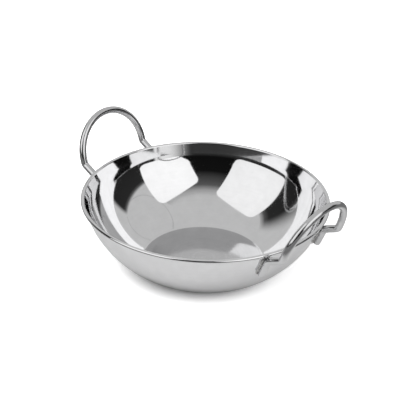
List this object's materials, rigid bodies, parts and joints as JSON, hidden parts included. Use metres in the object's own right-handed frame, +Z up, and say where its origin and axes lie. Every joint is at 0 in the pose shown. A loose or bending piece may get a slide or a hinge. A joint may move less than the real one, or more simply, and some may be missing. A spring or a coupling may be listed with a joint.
{
  "type": "kadai",
  "caption": "Round metal serving dish with a flat base, flared wall, curled rim and upright wire loop handles on opposite sides.",
  "frame": {"origin": "centre of the base's underside, on the surface that the dish stands on", "axes": "+Z up through the mouth, +X through the right handle, +Y towards the rear legs of the handles"},
  "size_m": [0.1822, 0.15, 0.0733],
  "materials": {
    "polished_steel": "mirror-polished stainless steel, satin on the base disc",
    "steel_wire": "polished stainless steel wire",
    "weld_bead": "ground weld bead, faintly heat-tinted"
  },
  "bodies": {
    "root": {"bowl": "polished_steel", "right_handle": "steel_wire", "left_handle": "steel_wire", "right_front_weld": "weld_bead", "right_rear_weld": "weld_bead", "left_front_weld": "weld_bead", "left_rear_weld": "weld_bead"}
  },
  "joints": []
}
